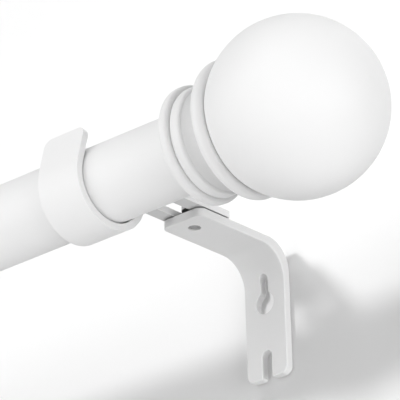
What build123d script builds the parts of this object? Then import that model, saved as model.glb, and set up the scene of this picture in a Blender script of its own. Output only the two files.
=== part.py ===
from build123d import *
import math
import os

# Extendable curtain rod: two telescoping tubes with a ball finial on each end,
# carried by two slotted cradles that clamp on two bent wall brackets.
# Millimetres, +Z up, the rod along X, the wall plane at Y = 0 with the room on -Y.
# The origin is the centre of the right bracket's keyhole, in the wall plane.

# Tubes
outer_diameter = 25.4
outer_wall = 0.8
outer_length = 660.0
inner_wall = 0.8
slide_room = 0.8            # radial room between the two tubes, taken up by the bushes
rest_reach = 60.0           # how far the inner tube stands out of the outer one at rest
end_room = 54.0             # free length between the glide and the outer tube's end plug at rest
mouth_room = 4.85           # free length between the left cradle and the slip ring at rest
tube_edge = 0.25            # rounding of the cut tube ends

# Clearances
running_clearance = 0.08    # between a sliding or turning piece and its guide
seat_clearance = 0.05       # between pieces of one body that are pressed together
face_gap = 0.1              # between flat faces that turn or slide on each other

# Bushes
mouth_sleeve_length = 16.0
mouth_lip_length = 2.2
mouth_lip_height = 0.9
mouth_lip_edge = 0.7
glide_flange_length = 6.0
glide_spigot_length = 12.0
glide_wall = 1.6

# Finial
end_to_bracket = 44.5       # from the outer tube's end to the middle of its bracket
ring_1_radius = 18.9
ring_1_width = 3.3
ring_2_radius = 17.5
ring_2_width = 4.2
ring_corner = 1.1           # rounding of the rims of the two rings by the tube
cone_length = 7.7
cone_sag = 0.8
waist_radius = 11.5
ring_3_radius = 22.2
ring_3_width = 4.7
shoulder_radius = 17.0
shoulder_length = 0.5       # how far the ball stands off the third ring
spigot_radius = 9.0
spigot_length = 9.0
ball_radius = 27.8
ball_flat_depth = 9.0       # how much of the ball is cut off by its flat seat
ball_wall = 2.2

# Stud and end plug
stud_diameter = 6.0
stud_in_plug = 15.0
stud_in_neck = 18.0
stud_chamfer = 0.8
plug_length = 20.0
plug_floor = 5.0
plug_skirt = 1.8
plug_boss_radius = 6.5

# Wall bracket
plate_width = 17.0
plate_thick = 2.9
arm_length = 42.8
leg_height = 45.1
bend_radius = 10.0          # of both sides of the bend, which is thicker than the plate
plate_corner = 2.8
plate_edge = 0.4
keyhole_drop = 19.0         # from the top of the arm down to the keyhole's centre
keyhole_radius = 3.75
keyhole_slot_width = 3.2
keyhole_slot_rise = 8.4     # from the keyhole's centre up to the centre of its slot's end
foot_slot_width = 3.9
foot_slot_depth = 9.6
slot_corner = 0.8           # rounding of the corners where a wall slot opens
cut_edge = 0.15             # rounding of the keyhole's rim on the room side
hole_edge = 0.4             # rounding of the screw hole's lower rim

# Clamp screw
screw_diameter = 4.0
screw_inset = 6.6           # from the arm's front end back to the screw
screw_head_diameter = 8.0
screw_head_height = 2.8
screw_head_edge = 1.2
screw_end_inset = 0.4       # how far the screw's end stays inside the arm
recess_width = 1.1
recess_span = 4.4
recess_depth = 1.5

# Cradle
strap_width = 16.9
strap_thick = 2.4
strap_edge = 0.25
cradle_clearance = 0.45     # radial room between the outer tube and the hook
strip_gap = 0.4             # between the strip and the arm that it lies on
axis_drop = 5.2             # from the top of the arm down to the rod's axis
strip_bend = 2.6            # inside of the bend from the strip into the hook
strip_tail = 7.7            # from the screw back to the strip's end at full reach
strip_corner = 2.5
strip_slot_width = 6.6
projection_travel = 21.5    # how far the cradle slides back towards the wall
slot_land = 4.5             # metal between the slot's front end and the bend
hook_lean = 14.5            # lean of the hook's tip over the rod, degrees
tip_length = 12.2
tip_corner = 3.0

# Worked-out places
outer_radius = outer_diameter / 2
outer_bore = outer_radius - outer_wall
inner_radius = outer_bore - slide_room
inner_bore = inner_radius - inner_wall
arm_top = keyhole_drop
leg_bottom = arm_top - leg_height
rod_z = arm_top - axis_drop
strip_bottom = arm_top + strip_gap
strip_top = strip_bottom + strap_thick
screw_y = screw_inset - arm_length
seat_radius = outer_radius + cradle_clearance
back_radius = seat_radius + strap_thick
bend_y = screw_y - projection_travel - strip_slot_width / 2 - slot_land
rod_y = bend_y - strip_bend - back_radius
right_end = end_to_bracket
mouth_x = right_end - outer_length
left_end = mouth_x - rest_reach
hidden_end = right_end - plug_length - end_room - glide_flange_length
left_bracket_x = mouth_x - mouth_lip_length - mouth_room - strap_width / 2
left_lift = outer_radius - inner_radius
stud_radius = stud_diameter / 2
thread_radius = stud_radius + running_clearance

# Where a cylinder or box has its origin: at the middle of its lower or of its upper face
standing = (Align.CENTER, Align.CENTER, Align.MIN)
hanging = (Align.CENTER, Align.CENTER, Align.MAX)


def on_rod(piece, x):
    """Puts a piece that was turned about the X axis on the rod's axis, at x."""
    return Pos(x, rod_y, rod_z) * piece


def turned(outline):
    """A solid of revolution about X, from a closed outline of (x, radius) edges."""
    return revolve(make_face(outline), axis=Axis.X)


def ring_section(points):
    """A solid of revolution about X, from the corner points (x, radius) of its section."""
    return turned(Polyline(*points, close=True))


def rims_at(solid, radius):
    """The round edges of a turned solid that have this radius."""
    same = 1e-6
    return [edge for edge in solid.edges().filter_by(GeomType.CIRCLE) if abs(edge.radius - radius) < same]


def sharp_edges(solid, least_angle=20):
    """The edges of a solid where its two faces meet at an angle, in degrees, and not smoothly."""
    found = []
    for edge in solid.edges():
        sides = [face for face in solid.faces() if any(edge.is_same(other) for other in face.edges())]
        middle = edge @ 0.5
        if len(sides) == 2 and sides[0].normal_at(middle).get_angle(sides[1].normal_at(middle)) > least_angle:
            found.append(edge)
    return ShapeList(found)


def tube(x_low, x_high, radius, bore):
    """A round tube with its cut ends rounded on the outside."""
    body = ring_section([(x_low, bore), (x_high, bore), (x_high, radius), (x_low, radius)])
    return on_rod(fillet(rims_at(body, radius), tube_edge), 0)


def mouth_bush():
    """Slip ring: a thin sleeve in the outer tube's mouth, with a lip that covers the cut edge."""
    bore = inner_radius + running_clearance
    sleeve = outer_bore - seat_clearance
    lip = outer_radius + mouth_lip_height
    body = ring_section([
        (-mouth_lip_length, bore), (mouth_sleeve_length, bore), (mouth_sleeve_length, sleeve),
        (0, sleeve), (0, lip), (-mouth_lip_length, lip),
    ])
    return on_rod(fillet(rims_at(body, lip), mouth_lip_edge), mouth_x)


def glide_bush():
    """Glide: a flange that runs in the outer tube, on a spigot in the inner tube's hidden end."""
    flange = outer_bore - running_clearance
    spigot = inner_bore - seat_clearance
    bore = spigot - glide_wall
    body = ring_section([
        (-glide_spigot_length, bore), (glide_flange_length, bore), (glide_flange_length, flange),
        (0, flange), (0, spigot), (-glide_spigot_length, spigot),
    ])
    return on_rod(body, hidden_end)


def end_plug(bore):
    """Cup-shaped plug for a tube's end: its floor and boss carry the stud's thread."""
    rim = bore - seat_clearance
    skirt = rim - plug_skirt
    return ring_section([
        (0, thread_radius), (0, rim), (-plug_length, rim), (-plug_length, skirt),
        (-plug_floor, skirt), (-plug_floor, plug_boss_radius), (-plug_length, plug_boss_radius),
        (-plug_length, thread_radius),
    ])


def rim(start, width, radius, corner):
    """A turned ring's rim in section, from start over its width: a flat band between two rounded corners."""
    root = radius - corner
    left = CenterArc((start + corner, root), corner, 180, -90)
    right = CenterArc((start + width - corner, root), corner, 90, -90)
    return Curve() + [left, Line(left @ 1, right @ 0), right]


def bead(start, width, radius):
    """A turned ring's half-round rim in section, from start over its width."""
    root = radius - width / 2
    return ThreePointArc((start, root), (start + width / 2, radius), (start + width, root))


def finial_neck():
    """Turned neck: two rounded rings, a hollowed cone, a larger ring, a shoulder and the ball's spigot."""
    ring_2_start = face_gap + ring_1_width
    cone_start = ring_2_start + ring_2_width
    ring_3_start = cone_start + cone_length
    ring_3_end = ring_3_start + ring_3_width
    seat = ring_3_end + shoulder_length
    spigot_end = seat + spigot_length
    stud_end = face_gap + stud_in_neck
    bore = stud_radius + seat_clearance

    ring_1_root = ring_1_radius - ring_corner
    ring_2_root = ring_2_radius - ring_corner
    ring_3 = bead(ring_3_start, ring_3_width, ring_3_radius)
    cone = Vector(cone_start, ring_2_root)
    waist = Vector(ring_3_start, waist_radius)
    hollow = (cone + waist) / 2 - Vector(0, cone_sag)
    outline = [
        Line((face_gap, bore), (face_gap, ring_1_root)),
        rim(face_gap, ring_1_width, ring_1_radius, ring_corner),
        Line((ring_2_start, ring_1_root), (ring_2_start, ring_2_root)),
        rim(ring_2_start, ring_2_width, ring_2_radius, ring_corner),
        ThreePointArc(cone, hollow, waist),
        Line(waist, ring_3 @ 0),
        ring_3,
        Polyline(ring_3 @ 1, (ring_3_end, shoulder_radius), (seat, shoulder_radius),
                 (seat, spigot_radius), (spigot_end, spigot_radius), (spigot_end, 0)),
        Polyline((spigot_end, 0), (stud_end, 0), (stud_end, bore), (face_gap, bore)),
    ]
    return turned(Curve() + outline)


def finial_ball():
    """Hollow ball with a flat seat, and an opening there for the neck's spigot."""
    seat = face_gap + ring_1_width + ring_2_width + cone_length + ring_3_width + shoulder_length
    centre = seat + ball_radius - ball_flat_depth
    hollow = ball_radius - ball_wall
    floor = seat + ball_wall
    mouth = spigot_radius + seat_clearance
    flat = math.sqrt(ball_radius**2 - (centre - seat)**2)
    hollow_flat = math.sqrt(hollow**2 - (centre - floor)**2)
    outline = [
        Line((seat, mouth), (seat, flat)),
        ThreePointArc((seat, flat), (centre, ball_radius), (centre + ball_radius, 0)),
        Line((centre + ball_radius, 0), (centre + hollow, 0)),
        ThreePointArc((centre + hollow, 0), (centre, hollow), (floor, hollow_flat)),
        Polyline((floor, hollow_flat), (floor, mouth), (seat, mouth)),
    ]
    return turned(Curve() + outline)


def finial_stud():
    """Threaded stud from the plug into the neck, drawn at its thread's outer diameter."""
    tip = stud_radius - stud_chamfer
    return ring_section([
        (-stud_in_plug, 0), (-stud_in_plug, tip), (stud_chamfer - stud_in_plug, stud_radius),
        (stud_in_neck - stud_chamfer, stud_radius), (stud_in_neck, tip), (stud_in_neck, 0),
    ])


def wall_slot(low, high, width):
    """A straight slot for a wall screw, from low to high between its end centres, cut through the leg."""
    room_side = Plane((0, 0, 0), x_dir=(1, 0, 0), z_dir=(0, -1, 0))
    outline = Pos(0, (low + high) / 2) * SlotCenterToCenter(high - low, width, rotation=90)
    return extrude(room_side * outline, amount=plate_thick + bend_radius)


def wall_bracket():
    """Bent strip: arm, large bend and leg, with a keyhole, an open foot slot and the screw's hole."""
    arm_bottom = arm_top - plate_thick
    inside = (-plate_thick - bend_radius, arm_bottom - bend_radius)
    outside = (-bend_radius, arm_top - bend_radius)
    profile = [
        Polyline((0, outside[1]), (0, leg_bottom), (-plate_thick, leg_bottom), (-plate_thick, inside[1])),
        CenterArc(inside, bend_radius, 0, 90),
        Polyline((inside[0], arm_bottom), (-arm_length, arm_bottom), (-arm_length, arm_top), (outside[0], arm_top)),
        CenterArc(outside, bend_radius, 0, 90),
    ]
    body = extrude(Plane.YZ * make_face(profile), amount=plate_width / 2, both=True)
    front_corners = body.edges().filter_by(Axis.Z).group_by(Axis.Y)[0]
    foot_corners = body.edges().filter_by(Axis.Y).group_by(Axis.Z)[0]
    body = fillet(front_corners + foot_corners, plate_corner)

    foot_end = leg_bottom + foot_slot_depth - foot_slot_width / 2
    body -= wall_slot(leg_bottom - foot_slot_width, foot_end, foot_slot_width)
    slot_mouth = body.edges().filter_by(Axis.Y).group_by(Axis.Z)[0]
    body = fillet(slot_mouth, slot_corner)
    body = fillet(sharp_edges(body), plate_edge)

    round_hole = Rot(90, 0, 0) * Cylinder(keyhole_radius, plate_thick, align=standing)
    body -= round_hole + wall_slot(0, keyhole_slot_rise, keyhole_slot_width)
    junction = [edge for edge in body.edges().filter_by(Axis.Y)
                if 0 < edge.center().Z < keyhole_radius and edge.length > plate_thick / 2]
    body = fillet(junction, slot_corner)
    room_rim = [edge for edge in sharp_edges(body) if edge.center().Y < -plate_thick + cut_edge / 2]
    body = fillet(room_rim, cut_edge)

    screw_hole = Cylinder(screw_diameter / 2 + running_clearance, plate_thick, align=hanging)
    body -= Pos(0, screw_y, arm_top) * screw_hole
    screw_rim = sharp_edges(body).sort_by(Axis.Z)[0]
    return fillet(screw_rim, hole_edge)


def cradle():
    """Folded strap: a slotted strip that bends down into the hook, which runs under and up before the rod."""
    lean = math.radians(hook_lean)
    tail = screw_y + strip_tail
    wall_in = rod_y + seat_radius
    wall_out = rod_y + back_radius
    bend_out = strip_bend + strap_thick
    bend_z = strip_bottom - strip_bend

    def hook_point(radius, along):
        """A point on the leaning tip, at a radius from the rod and a length along the tip."""
        return (rod_y - radius * math.cos(lean) + along * math.sin(lean),
                rod_z + radius * math.sin(lean) + along * math.cos(lean))

    profile = [
        Polyline((bend_y, strip_bottom), (tail, strip_bottom), (tail, strip_top), (bend_y, strip_top)),
        CenterArc((bend_y, bend_z), bend_out, 90, 90),
        Line((wall_in, bend_z), (wall_in, rod_z)),
        ThreePointArc((wall_in, rod_z), (rod_y, rod_z - seat_radius), hook_point(seat_radius, 0)),
        Polyline(hook_point(seat_radius, 0), hook_point(seat_radius, tip_length),
                 hook_point(back_radius, tip_length), hook_point(back_radius, 0)),
        ThreePointArc(hook_point(back_radius, 0), (rod_y, rod_z - back_radius), (wall_out, rod_z)),
        Line((wall_out, rod_z), (wall_out, bend_z)),
        CenterArc((bend_y, bend_z), strip_bend, 90, 90),
    ]
    body = extrude(Plane.YZ * make_face(profile), amount=strap_width / 2, both=True)
    back = body.edges().filter_by(Axis.Z).group_by(Axis.Y)[-1]
    through_tip = Axis((0, 0, 0), (0, math.cos(lean), -math.sin(lean)))
    tip = body.edges().filter_by(through_tip)
    body = fillet(back, strip_corner)
    body = fillet(tip, tip_corner)
    slot = SlotCenterToCenter(projection_travel, strip_slot_width, rotation=90)
    slot_place = Pos(0, screw_y - projection_travel / 2, strip_bottom)
    body -= extrude(slot_place * slot, amount=strap_thick)
    return fillet(sharp_edges(body), strap_edge)


def clamp_screw():
    """Pan-head screw with a cross recess, its head on the strip and its shank in the arm's hole."""
    under_head = strip_top + face_gap
    length = under_head - arm_top + plate_thick - screw_end_inset
    head = Cylinder(screw_head_diameter / 2, screw_head_height, align=standing)
    head = fillet(head.edges().group_by(Axis.Z)[-1], screw_head_edge)
    bar = Box(recess_span, recess_width, recess_depth, align=hanging)
    head -= Pos(0, 0, screw_head_height) * (bar + Rot(0, 0, 90) * bar)
    shank = Cylinder(screw_diameter / 2, length, align=hanging)
    return Pos(0, screw_y, under_head) * (head + shank)


right_side = Pos(right_end, rod_y, rod_z)
left_side = Pos(left_end, rod_y, rod_z) * Rot(0, 0, 180)
left_bracket = Pos(left_bracket_x, 0, left_lift)

pieces = {
    "outer_tube": tube(mouth_x, right_end, outer_radius, outer_bore),
    "inner_tube": tube(left_end, hidden_end, inner_radius, inner_bore),
    "mouth_bush": mouth_bush(),
    "glide_bush": glide_bush(),
    "right_end_plug": right_side * end_plug(outer_bore),
    "left_end_plug": left_side * end_plug(inner_bore),
}
for side, place in (("right", right_side), ("left", left_side)):
    pieces[side + "_finial_neck"] = place * finial_neck()
    pieces[side + "_finial_ball"] = place * finial_ball()
    pieces[side + "_finial_stud"] = place * finial_stud()
for side, place in (("right", Pos(0, 0, 0)), ("left", left_bracket)):
    pieces[side + "_wall_bracket"] = place * wall_bracket()
    pieces[side + "_cradle"] = place * cradle()
    pieces[side + "_clamp_screw"] = place * clamp_screw()

os.makedirs("parts", exist_ok=True)
for name, piece in pieces.items():
    export_step(piece, f"parts/{name}.step")
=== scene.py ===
"""Extendable curtain rod in white: telescoping tubes, ball finials, hooked cradles and bent wall brackets.

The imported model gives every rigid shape. This script finishes each surface, cuts the threads of the
screws and studs, and sets up the wall, the floor, the light and the camera.
"""

import logging
import math
from dataclasses import dataclass
from enum import Enum
from typing import Any, Mapping, Sequence

import bmesh
import bpy
from mathutils import Matrix, Vector


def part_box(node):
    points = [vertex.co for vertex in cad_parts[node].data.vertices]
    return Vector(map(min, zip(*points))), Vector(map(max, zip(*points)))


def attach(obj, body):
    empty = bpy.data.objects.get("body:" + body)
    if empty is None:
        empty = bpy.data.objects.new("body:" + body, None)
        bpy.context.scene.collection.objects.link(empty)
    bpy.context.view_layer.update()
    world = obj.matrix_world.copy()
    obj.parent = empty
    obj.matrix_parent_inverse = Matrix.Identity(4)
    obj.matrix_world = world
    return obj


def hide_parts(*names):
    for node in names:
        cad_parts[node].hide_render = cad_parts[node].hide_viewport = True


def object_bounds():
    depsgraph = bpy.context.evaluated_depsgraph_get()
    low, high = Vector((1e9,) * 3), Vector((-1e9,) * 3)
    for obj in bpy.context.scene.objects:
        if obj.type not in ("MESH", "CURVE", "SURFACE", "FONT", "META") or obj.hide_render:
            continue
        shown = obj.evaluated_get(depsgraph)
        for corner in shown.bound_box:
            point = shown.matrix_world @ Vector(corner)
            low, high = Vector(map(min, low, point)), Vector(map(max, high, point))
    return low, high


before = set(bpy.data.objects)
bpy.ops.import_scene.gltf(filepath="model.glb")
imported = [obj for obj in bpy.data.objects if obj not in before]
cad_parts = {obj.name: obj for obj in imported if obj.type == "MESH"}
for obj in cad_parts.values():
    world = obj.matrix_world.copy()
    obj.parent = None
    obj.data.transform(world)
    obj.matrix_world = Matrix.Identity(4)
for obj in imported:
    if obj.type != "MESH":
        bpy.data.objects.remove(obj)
CAD_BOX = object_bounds()

MM = 0.001
SAME_PLACE = 0.001 * MM
ON_PLANE = 1e-9
QUARTER_TURN = math.radians(90)
NOISE_MIDDLE = 0.5
LOG = logging.getLogger("curtain_rod")

Colour = tuple[float, float, float, float]


def grey(level: float) -> Colour:
    """A neutral colour of a linear level."""
    return (level, level, level, 1.0)


def direction(azimuth: float, elevation: float) -> Vector:
    """The way from the rod to a far place.

    Args:
        azimuth: its bearing in degrees, 0 straight before the wall and 90 beyond the right finial.
        elevation: its height above the horizon in degrees.

    Returns:
        A unit vector.
    """
    bearing, height = math.radians(azimuth), math.radians(elevation)
    return Vector((math.sin(bearing) * math.cos(height), -math.cos(bearing) * math.cos(height),
                   math.sin(height)))


class Val:
    """A number socket in a node graph, with operators that add Math nodes."""

    def __init__(self, graph: "Graph", socket: bpy.types.NodeSocket) -> None:
        """Wraps an output socket of a graph's node."""
        self.graph = graph
        self.socket = socket

    def _math(self, operation: str, *inputs: Any) -> "Val":
        """Adds one Math node.

        Args:
            operation: the Math node's operation.
            inputs: its inputs in order, each a Val or a number.

        Returns:
            The node's result.
        """
        made = self.graph.node("ShaderNodeMath", {"operation": operation}, dict(enumerate(inputs)))
        return Val(self.graph, made.outputs[0])

    def __add__(self, other: Any) -> "Val":
        """self + other."""
        return self._math("ADD", self, other)

    def __radd__(self, other: Any) -> "Val":
        """other + self."""
        return self._math("ADD", other, self)

    def __sub__(self, other: Any) -> "Val":
        """self - other."""
        return self._math("SUBTRACT", self, other)

    def __rsub__(self, other: Any) -> "Val":
        """other - self."""
        return self._math("SUBTRACT", other, self)

    def __mul__(self, other: Any) -> "Val":
        """self * other."""
        return self._math("MULTIPLY", self, other)

    def at_most(self, other: Any) -> "Val":
        """The smaller of self and other."""
        return self._math("MINIMUM", self, other)

    def near(self, target: float, reach: float) -> "Val":
        """1 where self lies within a reach of a target, and else 0."""
        return self._math("COMPARE", self, target, reach)


class Graph:
    """The node graph of one material or of the world."""

    # A Mix node numbers its sockets for every data type, and these are the ones for colours.
    MIX_FACTOR, MIX_LOW, MIX_HIGH, MIX_RESULT = 0, 6, 7, 2

    def __init__(self, tree: bpy.types.NodeTree) -> None:
        """Takes over a node tree and empties it."""
        self.tree = tree
        tree.nodes.clear()

    def node(self, kind: str, settings: Mapping[str, Any] | None = None,
             inputs: Mapping[str | int, Any] | None = None) -> bpy.types.Node:
        """Adds one node.

        Args:
            kind: the node's type name.
            settings: its own settings, set before its sockets.
            inputs: values or links of its input sockets, by name or number.

        Returns:
            The node.
        """
        made = self.tree.nodes.new(kind)
        for key, value in (settings or {}).items():
            setattr(made, key, value)
        for key, value in (inputs or {}).items():
            source = value.socket if isinstance(value, Val) else value
            if isinstance(source, bpy.types.NodeSocket):
                self.tree.links.new(source, made.inputs[key])
            else:
                made.inputs[key].default_value = source
        return made

    def place(self) -> bpy.types.NodeSocket:
        """The object's own coordinates, in metres."""
        return self.node("ShaderNodeTexCoord").outputs["Object"]

    def noise(self, place: bpy.types.NodeSocket, size: float, detail: float) -> Val:
        """A noise field.

        Args:
            place: the coordinates that it reads.
            size: the size of its patches, in millimetres.
            detail: its number of finer octaves.

        Returns:
            The field, about NOISE_MIDDLE on average.
        """
        made = self.node("ShaderNodeTexNoise", None,
                         {"Vector": place, "Scale": 1.0 / (size * MM), "Detail": detail})
        return Val(self, made.outputs["Fac"])

    def between(self, factor: Val, low: Colour | bpy.types.NodeSocket,
                high: Colour) -> bpy.types.NodeSocket:
        """The colour between low and high that the factor gives."""
        mixed = self.node("ShaderNodeMix", {"data_type": "RGBA"},
                          {self.MIX_FACTOR: factor, self.MIX_LOW: low, self.MIX_HIGH: high})
        return mixed.outputs[self.MIX_RESULT]

    def shade(self, tone: float, drift: float, noise: Val) -> bpy.types.NodeSocket:
        """A grey that a noise field shifts by up to a drift to either side of a tone."""
        return self.between(noise, grey(tone - drift), grey(tone + drift))

    def bump(self, height: Val, distance: float) -> bpy.types.NodeSocket:
        """A bumped normal from a height field of 0 to 1 that stands for a distance in millimetres."""
        return self.node("ShaderNodeBump", None, {"Distance": distance * MM, "Height": height}).outputs[0]

    def seen(self) -> Val:
        """Tells which rays look at a background: straight, by reflection or through glass.

        Returns:
            1 for those rays, and else 0.
        """
        path = self.node("ShaderNodeLightPath")
        camera, glossy, transmission = (Val(self, path.outputs[f"Is {kind} Ray"])
                                        for kind in ("Camera", "Glossy", "Transmission"))
        return (camera + glossy + transmission).at_most(1.0)

    def surface(self, inputs: Mapping[str | int, Any]) -> None:
        """Ends the graph in a principled surface with these inputs."""
        shader = self.node("ShaderNodeBsdfPrincipled", None, inputs)
        self.node("ShaderNodeOutputMaterial", None, {"Surface": shader.outputs[0]})


def new_material(name: str) -> tuple[bpy.types.Material, Graph]:
    """Makes an empty node material.

    Args:
        name: its name.

    Returns:
        The material and its graph.
    """
    material = bpy.data.materials.new(name)
    material.use_nodes = True
    return material, Graph(material.node_tree)


@dataclass(frozen=True)
class PaintedGapShade:
    """Painted shade: a dark tone painted where the cradle's strip lies on the arm, standing in for the
    shadow in the gap between them. Lengths are in metres.

    It covers what lies within a reach of a height along Z, and within a span of a middle along Y.
    """

    height: float
    reach: float
    middle: float
    span: float
    tone: float

    def over(self, graph: Graph, place: bpy.types.NodeSocket,
             paint: bpy.types.NodeSocket) -> bpy.types.NodeSocket:
        """Lays the painted shade's tone over a paint.

        Args:
            graph: the paint's graph.
            place: the coordinates that it reads.
            paint: the paint's colour.

        Returns:
            The colour of both.
        """
        axes = graph.node("ShaderNodeSeparateXYZ", None, {0: place}).outputs
        level = Val(graph, axes["Z"]).near(self.height, self.reach)
        along = Val(graph, axes["Y"]).near(self.middle, self.span)
        return graph.between(level * along, paint, grey(self.tone))


@dataclass(frozen=True)
class PowderCoat:
    """Satin white powder coat on steel: fine orange peel, and a faint cloud in tone and gloss.

    Sizes are in millimetres.
    """

    name: str
    tone: float = 0.84
    tone_drift: float = 0.02
    roughness: float = 0.55
    roughness_drift: float = 0.08
    peel_size: float = 0.9
    peel_detail: float = 1.0
    peel_height: float = 0.012
    cloud_size: float = 45.0
    cloud_detail: float = 3.0
    gap_shade: PaintedGapShade | None = None

    def material(self) -> bpy.types.Material:
        """Builds the material.

        Returns:
            The material, with painted shade in the strip's gap where one is given.
        """
        material, graph = new_material(self.name)
        place = graph.place()
        peel = graph.noise(place, self.peel_size, self.peel_detail)
        cloud = graph.noise(place, self.cloud_size, self.cloud_detail)
        paint = graph.shade(self.tone, self.tone_drift, cloud)
        graph.surface({
            # Painted shade: where given, the gap under the cradle's strip is painted darker.
            "Base Color": self.gap_shade.over(graph, place, paint) if self.gap_shade else paint,
            "Roughness": self.roughness + (cloud + peel - 2 * NOISE_MIDDLE) * self.roughness_drift,
            "Normal": graph.bump(peel, self.peel_height),
        })
        return material


@dataclass(frozen=True)
class Lacquer:
    """Smooth white lacquer on the turned and moulded finial. Sizes are in millimetres."""

    name: str
    tone: float = 0.84
    tone_drift: float = 0.012
    roughness: float = 0.55
    roughness_drift: float = 0.06
    wave_size: float = 7.0
    wave_detail: float = 2.0
    wave_height: float = 0.02
    cloud_size: float = 28.0
    cloud_detail: float = 3.0

    def material(self) -> bpy.types.Material:
        """Builds the material.

        Returns:
            The material.
        """
        material, graph = new_material(self.name)
        place = graph.place()
        wave = graph.noise(place, self.wave_size, self.wave_detail)
        cloud = graph.noise(place, self.cloud_size, self.cloud_detail)
        graph.surface({
            "Base Color": graph.shade(self.tone, self.tone_drift, cloud),
            "Roughness": self.roughness + (cloud - NOISE_MIDDLE) * self.roughness_drift,
            "Normal": graph.bump(wave, self.wave_height),
        })
        return material


@dataclass(frozen=True)
class PlatedSteel:
    """Dark plated steel of the screws: fine grain and a mottled gloss. Sizes are in millimetres."""

    name: str
    tone: float = 0.27
    tone_drift: float = 0.05
    roughness: float = 0.34
    roughness_drift: float = 0.16
    grain_size: float = 0.35
    grain_detail: float = 3.0
    grain_height: float = 0.01
    mottle_size: float = 2.1
    mottle_detail: float = 3.0

    def material(self) -> bpy.types.Material:
        """Builds the material.

        Returns:
            The material.
        """
        material, graph = new_material(self.name)
        place = graph.place()
        grain = graph.noise(place, self.grain_size, self.grain_detail)
        mottle = graph.noise(place, self.mottle_size, self.mottle_detail)
        graph.surface({
            "Base Color": graph.shade(self.tone, self.tone_drift, mottle),
            "Metallic": 1.0,
            "Roughness": self.roughness + (mottle - NOISE_MIDDLE) * self.roughness_drift,
            "Normal": graph.bump(grain, self.grain_height),
        })
        return material


@dataclass(frozen=True)
class MouldedPlastic:
    """White moulded plastic with a fine spark-eroded grain. Sizes are in millimetres."""

    name: str
    tone: float = 0.8
    tone_drift: float = 0.02
    roughness: float = 0.55
    roughness_drift: float = 0.1
    grain_size: float = 0.4
    grain_detail: float = 2.0
    grain_height: float = 0.015
    flow_size: float = 12.0
    flow_detail: float = 2.0

    def material(self) -> bpy.types.Material:
        """Builds the material.

        Returns:
            The material.
        """
        material, graph = new_material(self.name)
        place = graph.place()
        grain = graph.noise(place, self.grain_size, self.grain_detail)
        flow = graph.noise(place, self.flow_size, self.flow_detail)
        graph.surface({
            "Base Color": graph.shade(self.tone, self.tone_drift, flow),
            "Roughness": self.roughness + (grain - NOISE_MIDDLE) * self.roughness_drift,
            "Normal": graph.bump(grain, self.grain_height),
        })
        return material


@dataclass(frozen=True)
class BackdropPaint:
    """Matt white of the wall and floor, seen only from their front side. Light passes through it."""

    name: str
    tone: float = 0.94

    def material(self) -> bpy.types.Material:
        """Builds the material.

        Returns:
            The material.
        """
        material, graph = new_material(self.name)
        facing = 1 - Val(graph, graph.node("ShaderNodeNewGeometry").outputs["Backfacing"])
        clear = graph.node("ShaderNodeBsdfTransparent")
        paint = graph.node("ShaderNodeBsdfDiffuse", None, {"Color": grey(self.tone)})
        mixed = graph.node("ShaderNodeMixShader", None,
                           {"Fac": graph.seen() * facing, 1: clear.outputs[0], 2: paint.outputs[0]})
        graph.node("ShaderNodeOutputMaterial", None, {"Surface": mixed.outputs[0]})
        return material


class Side(Enum):
    """The two ends of the rod."""

    RIGHT = "right"
    LEFT = "left"

    def node(self, piece: str) -> str:
        """The name of this end's node or body."""
        return f"{self.value}_{piece}"


@dataclass(frozen=True)
class Finishes:
    """The materials that both ends of the rod share."""

    tube: bpy.types.Material
    ball: bpy.types.Material
    neck: bpy.types.Material
    steel: bpy.types.Material
    plastic: bpy.types.Material

    @classmethod
    def mixed(cls) -> "Finishes":
        """Builds every shared finish once.

        Returns:
            The finishes.
        """
        return cls(
            tube=PowderCoat("tube_powder_coat").material(),
            ball=Lacquer("ball_lacquer").material(),
            # Painted shade: the neck's lacquer is a darker copy of the ball's, for the shade in the hollow
            # between its rings.
            neck=Lacquer("neck_lacquer", tone=0.81).material(),
            steel=PlatedSteel("screw_plating").material(),
            plastic=MouldedPlastic("bush_plastic").material(),
        )


def dress(node: str, material: bpy.types.Material) -> None:
    """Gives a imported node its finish.

    Args:
        node: the node's name.
        material: its finish.
    """
    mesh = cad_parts[node].data
    mesh.materials.clear()
    mesh.materials.append(material)
    LOG.info("%s has the finish %s", node, material.name)


def add_piece(name: str, shape: bmesh.types.BMesh, material: bpy.types.Material) -> bpy.types.Object:
    """Makes an object at the origin from a finished shape.

    Args:
        name: the object's name.
        shape: its mesh in metres, in the model's frame, which is freed.
        material: its finish.

    Returns:
        The object.
    """
    mesh = bpy.data.meshes.new(name)
    shape.to_mesh(mesh)
    shape.free()
    mesh.materials.append(material)
    piece = bpy.data.objects.new(name, mesh)
    bpy.context.scene.collection.objects.link(piece)
    LOG.info("%s has %d faces", name, len(mesh.polygons))
    return piece


def cut_off(shape: bmesh.types.BMesh, height: float, outward: float) -> None:
    """Cuts off what lies beyond a height, and leaves the cut open.

    Args:
        shape: the mesh to cut.
        height: the height of the cut, in metres.
        outward: 1 to cut off what is above it, -1 to cut off what is below it.
    """
    bmesh.ops.bisect_plane(shape, geom=shape.verts[:] + shape.edges[:] + shape.faces[:], dist=ON_PLANE,
                           plane_co=(0, 0, height), plane_no=(0, 0, outward), clear_outer=True)


def close_cuts(shape: bmesh.types.BMesh) -> None:
    """Fills every open cut of a mesh with one flat face."""
    bmesh.ops.holes_fill(shape, edges=[edge for edge in shape.edges if edge.is_boundary], sides=0)


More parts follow.
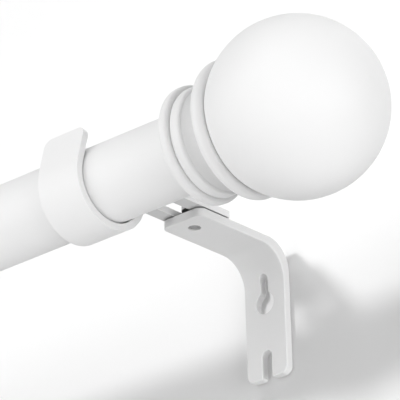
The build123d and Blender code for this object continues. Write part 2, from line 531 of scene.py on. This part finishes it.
@dataclass
class Thread:
    """A metric thread along +Z from 0 to its length, with a bevelled start and end.

    Sizes are in millimetres.
    """

    diameter: float
    pitch: float
    length: float
    lead: float
    steps: int = 32
    spare_turns: int = 1
    crest_share: float = 0.125
    depth_share: float = 0.6

    def shape(self) -> bmesh.types.BMesh:
        """Winds the thread.

        Returns:
            A closed mesh in metres.
        """
        made = bmesh.new()
        self._wind(made)
        cut_off(made, 0.0, -1.0)
        cut_off(made, self.length * MM, 1.0)
        close_cuts(made)
        bmesh.ops.recalc_face_normals(made, faces=made.faces)
        self._bevel_ends(made)
        return made

    def _wind(self, made: bmesh.types.BMesh) -> None:
        """Winds one tooth into a helix that runs past both ends by the spare turns.

        Args:
            made: the empty mesh that takes the helix.
        """
        pitch = self.pitch * MM
        crest = self.diameter / 2 * MM
        root = crest - self.depth_share * pitch
        flat = self.crest_share * pitch
        tooth = ((root, 0.0), (root, flat), (crest, pitch / 2), (crest, pitch / 2 + flat))
        last = self.steps * (math.ceil(self.length / self.pitch) + 2 * self.spare_turns)
        helix = []
        for step in range(last + self.steps + 1):
            turned = step / self.steps * math.tau
            risen = (step / self.steps - self.spare_turns) * pitch
            cosine, sine = math.cos(turned), math.sin(turned)
            helix.append([made.verts.new((radius * cosine, radius * sine, height + risen))
                          for radius, height in (tooth if step <= last else tooth[:1])])
        for step in range(last):
            # A tooth ends where the next turn's tooth starts.
            here = helix[step] + helix[step + self.steps][:1]
            after = helix[step + 1] + helix[step + 1 + self.steps][:1]
            for low, high in zip(zip(here, after), zip(here[1:], after[1:])):
                made.faces.new((low[0], low[1], high[1], high[0]))

    def _bevel_ends(self, made: bmesh.types.BMesh) -> None:
        """Turns both ends down to a bevel.

        Args:
            made: the thread, cut to its length.
        """
        for corner in made.verts:
            from_end = min(corner.co.z, self.length * MM - corner.co.z)
            allowed = self.diameter / 2 * MM - max(self.lead * MM - from_end, 0.0)
            radius = math.hypot(corner.co.x, corner.co.y)
            if radius > allowed:
                corner.co.x *= allowed / radius
                corner.co.y *= allowed / radius


@dataclass
class Tubes:
    """The two telescoping tubes, and the bushes that they run in."""

    finishes: Finishes

    def dress(self) -> None:
        """Finishes the tubes and their bushes."""
        for node in ("outer_tube", "inner_tube"):
            dress(node, self.finishes.tube)
        for node in ("mouth_bush", "glide_bush"):
            dress(node, self.finishes.plastic)


@dataclass
class Finial:
    """A ball on its turned neck, with the threaded stud that holds it in the tube's plug.

    Sizes are in millimetres.
    """

    side: Side
    finishes: Finishes
    thread_pitch: float = 1.0
    thread_lead: float = 0.8

    def build(self) -> None:
        """Cuts the stud's thread."""
        node = self.side.node("finial_stud")
        low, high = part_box(node)
        middle = (low + high) / 2
        thread = Thread(diameter=(high.z - low.z) / MM, pitch=self.thread_pitch,
                        length=(high.x - low.x) / MM, lead=self.thread_lead)
        shape = thread.shape()
        along_x = Matrix.Rotation(QUARTER_TURN, 4, "Y")
        to_start = Matrix.Translation((low.x, middle.y, middle.z))
        bmesh.ops.transform(shape, matrix=to_start @ along_x, verts=shape.verts)
        stud = add_piece(node + "_threaded", shape, self.finishes.steel)
        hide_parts(node)
        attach(stud, self.side.node("finial"))

    def dress(self) -> None:
        """Finishes the neck, the ball and the plug."""
        dress(self.side.node("finial_neck"), self.finishes.neck)
        dress(self.side.node("finial_ball"), self.finishes.ball)
        dress(self.side.node("end_plug"), self.finishes.plastic)


@dataclass
class BracketSet:
    """A wall bracket, the cradle that slides on it and the screw that clamps them.

    Sizes are in millimetres.
    """

    side: Side
    finishes: Finishes
    head_height: float = 2.8
    shank_diameter: float = 4.0
    thread_pitch: float = 0.7
    thread_lead: float = 0.5
    shank_overlap: float = 0.3
    # Painted shade: the wall bracket's coat is set darker than the cradle's, for the shade it sits in near
    # the wall.
    bracket_shaded_tone: float = 0.74
    peel_size: float = 0.8
    strip_gap: float = 0.4
    # These five numbers place and tone the painted shade in the gap where the strip lies on the arm.
    gap_shade_margin: float = 0.03
    gap_shade_before: float = 23.0
    gap_shade_behind: float = 13.5
    arm_gap_shade_tone: float = 0.2
    strip_gap_shade_tone: float = 0.6

    def build(self) -> None:
        """Makes the clamp screw: the solid's own head with its recess, and a threaded shank."""
        node = self.side.node("clamp_screw")
        low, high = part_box(node)
        middle = (low + high) / 2
        under_head = high.z - self.head_height * MM
        shape = self._head(node, under_head)
        thread = Thread(diameter=self.shank_diameter, pitch=self.thread_pitch, lead=self.thread_lead,
                        length=(under_head - low.z) / MM + self.shank_overlap)
        shank = thread.shape()
        bmesh.ops.translate(shank, vec=(middle.x, middle.y, low.z), verts=shank.verts)
        mesh = bpy.data.meshes.new("shank")
        shank.to_mesh(mesh)
        shank.free()
        shape.from_mesh(mesh)
        bpy.data.meshes.remove(mesh)
        screw = add_piece(node + "_threaded", shape, self.finishes.steel)
        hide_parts(node)
        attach(screw, self.side.node("screw"))

    @staticmethod
    def _head(node: str, under_head: float) -> bmesh.types.BMesh:
        """Copies a screw's solid and cuts its plain shank off.

        Args:
            node: the screw's node.
            under_head: the height of the head's underside, in metres.

        Returns:
            The head, closed.
        """
        shape = bmesh.new()
        shape.from_mesh(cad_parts[node].data)
        bmesh.ops.remove_doubles(shape, verts=shape.verts, dist=SAME_PLACE)
        cut_off(shape, under_head - SAME_PLACE, -1.0)
        close_cuts(shape)
        return shape

    def dress(self) -> None:
        """Finishes the wall bracket and the cradle, each with painted shade in the gap where the strip
        lies on the arm.
        """
        bracket, cradle = self.side.node("wall_bracket"), self.side.node("cradle")
        low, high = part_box(bracket)
        height = high.z + self.strip_gap / 2 * MM
        reach = (self.strip_gap / 2 + self.gap_shade_margin) * MM
        middle = low.y + (self.gap_shade_behind - self.gap_shade_before) / 2 * MM
        span = (self.gap_shade_behind + self.gap_shade_before) / 2 * MM
        # Painted shade: the arm's top and the strip's underside are painted darker in the gap between
        # them.
        arm_gap_shade = PaintedGapShade(height, reach, middle, span, self.arm_gap_shade_tone)
        strip_gap_shade = PaintedGapShade(height, reach, middle, span, self.strip_gap_shade_tone)
        # The bracket's darker tone is painted shade, while the cradle keeps the plain tone.
        dress(bracket, PowderCoat(bracket + "_powder_coat", tone=self.bracket_shaded_tone,
                                  peel_size=self.peel_size, gap_shade=arm_gap_shade).material())
        dress(cradle, PowderCoat(cradle + "_powder_coat", peel_size=self.peel_size,
                                 gap_shade=strip_gap_shade).material())


class Reach(Enum):
    """What a lamp lights."""

    ALL = "all"
    ROD = "rod"
    BACKDROP = "backdrop"

    def receivers(self, sheets: Sequence[bpy.types.Object]) -> bpy.types.Collection | None:
        """Lists what a lamp of this reach lights.

        Args:
            sheets: the wall and the floor.

        Returns:
            A collection of the sheets, each included or left out, or None where the lamp lights all.
        """
        if self is Reach.ALL:
            return None
        listed = bpy.data.collections.new(f"lit_{self.value}")
        for sheet in sheets:
            listed.objects.link(sheet)
        for entry in listed.collection_objects:
            entry.light_linking.link_state = "INCLUDE" if self is Reach.BACKDROP else "EXCLUDE"
        return listed


@dataclass(frozen=True)
class SoftLight:
    """A soft light far away. Angles are in degrees, and azimuth 0 is straight before the wall.

    The strength is what a surface that faces the light gets, in watts for each square metre.
    """

    name: str
    azimuth: float
    elevation: float
    spread: float
    strength: float
    reach: Reach = Reach.ALL

    def hang(self, sheets: Sequence[bpy.types.Object]) -> None:
        """Adds the lamp to the scene.

        Args:
            sheets: the wall and the floor.
        """
        light = bpy.data.lights.new(self.name, "SUN")
        light.energy = self.strength
        light.angle = math.radians(self.spread)
        lamp = bpy.data.objects.new(self.name, light)
        lamp.rotation_mode = "QUATERNION"
        lamp.rotation_quaternion = direction(self.azimuth, self.elevation).to_track_quat("Z", "Y")
        lamp.light_linking.receiver_collection = self.reach.receivers(sheets)
        bpy.context.scene.collection.objects.link(lamp)


@dataclass
class Studio:
    """Wall, floor, lamps and camera. Lengths are in metres, angles in degrees."""

    wall_gap: float = 0.3 * MM
    wall_size: float = 6.0
    floor_height: float = -1.2
    floor_size: float = 8.0
    lights: Sequence[SoftLight] = (
        SoftLight("wall_key", -22.0, 23.4, 8.0, 1.3, Reach.BACKDROP),
        SoftLight("wall_left_top", -80.0, 65.0, 50.0, 2.1, Reach.BACKDROP),
        SoftLight("wall_left_low", -80.0, -55.0, 50.0, 1.9, Reach.BACKDROP),
        SoftLight("rod_key", -40.0, 0.0, 60.0, 1.01, Reach.ROD),
        SoftLight("rod_low_front", 30.0, -22.0, 50.0, 0.74, Reach.ROD),
        SoftLight("rod_top", 0.0, 80.0, 60.0, 0.5, Reach.ROD),
        SoftLight("rod_under", 180.0, -70.0, 60.0, 1.16, Reach.ROD),
        SoftLight("rod_left_under", -90.0, -60.0, 50.0, 0.59, Reach.ROD),
        SoftLight("rod_back", 180.0, 42.0, 60.0, 1.3, Reach.ROD),
        SoftLight("left_fill", -40.0, 0.0, 60.0, 0.48),
        SoftLight("front_fill", 0.0, 25.0, 50.0, 1.06),
        SoftLight("right_fill", 80.0, -12.0, 50.0, 1.58),
        SoftLight("right_end_fill", 92.0, 0.0, 40.0, 0.82),
    )
    camera_azimuth: float = 41.293
    camera_elevation: float = -24.498
    camera_roll: float = -1.62
    camera_place: tuple[float, float, float] = (0.70898, -0.84036, -0.46268)
    focal_pixels: float = 3683.6
    image_pixels: float = 400.0
    sensor_width_mm: float = 36.0
    nearest_seen: float = 0.05
    farthest_seen: float = 50.0

    def backdrop(self) -> tuple[bpy.types.Object, bpy.types.Object]:
        """Makes the wall behind the brackets and the floor under the rod.

        Returns:
            The wall and the floor.
        """
        paint = BackdropPaint("backdrop_white").material()
        low, high = CAD_BOX
        middle = (low + high) / 2
        upright = Matrix.Rotation(QUARTER_TURN, 4, "X")
        wall = self._sheet("stage_wall", self.wall_size, paint)
        wall.matrix_world = Matrix.Translation((middle.x, high.y + self.wall_gap, middle.z)) @ upright
        floor = self._sheet("stage_floor", self.floor_size, paint)
        floor.location = (middle.x, middle.y, self.floor_height)
        return wall, floor

    @staticmethod
    def _sheet(name: str, size: float, material: bpy.types.Material) -> bpy.types.Object:
        """Makes a square flat sheet that faces +Z.

        Args:
            name: the sheet's name.
            size: the length of its sides.
            material: its finish.

        Returns:
            The sheet.
        """
        shape = bmesh.new()
        bmesh.ops.create_grid(shape, x_segments=1, y_segments=1, size=size / 2)
        return add_piece(name, shape, material)

    def camera(self) -> None:
        """Places the camera at the photograph's view."""
        back = direction(self.camera_azimuth, self.camera_elevation)
        roll = math.radians(self.camera_roll)
        level = (-back).cross(Vector((0, 0, 1))).normalized()
        above = level.cross(-back)
        right = level * math.cos(roll) + above * math.sin(roll)
        up = above * math.cos(roll) - level * math.sin(roll)
        data = bpy.data.cameras.new("camera")
        data.sensor_fit = "HORIZONTAL"
        data.sensor_width = self.sensor_width_mm
        data.lens = self.focal_pixels / self.image_pixels * self.sensor_width_mm
        data.clip_start, data.clip_end = self.nearest_seen, self.farthest_seen
        camera = bpy.data.objects.new("camera", data)
        turn = Matrix((right, up, back)).transposed()
        camera.matrix_world = Matrix.Translation(self.camera_place) @ turn.to_4x4()
        bpy.context.scene.collection.objects.link(camera)
        bpy.context.scene.camera = camera

    def lamps(self, sheets: Sequence[bpy.types.Object]) -> None:
        """Hangs the soft lights.

        Args:
            sheets: the wall and the floor.
        """
        for light in self.lights:
            light.hang(sheets)

    @staticmethod
    def surround() -> None:
        """Surrounds the scene with a white that is seen but lights nothing matt."""
        world = bpy.data.worlds.new("surround")
        world.use_nodes = True
        graph = Graph(world.node_tree)
        sky = graph.node("ShaderNodeBackground", None, {"Color": grey(1.0), "Strength": graph.seen()})
        graph.node("ShaderNodeOutputWorld", None, {"Surface": sky.outputs[0]})
        bpy.context.scene.world = world
        bpy.context.scene.view_settings.view_transform = "Standard"


def main() -> None:
    """Builds and dresses the rod, and sets up the studio."""
    logging.basicConfig(level=logging.INFO, format="%(name)s: %(message)s")
    finishes = Finishes.mixed()
    Tubes(finishes).dress()
    for side in Side:
        finial = Finial(side, finishes)
        finial.build()
        finial.dress()
        bracket = BracketSet(side, finishes)
        bracket.build()
        bracket.dress()
    studio = Studio()
    studio.lamps(studio.backdrop())
    studio.surround()
    studio.camera()


if __name__ == "__main__":
    main()
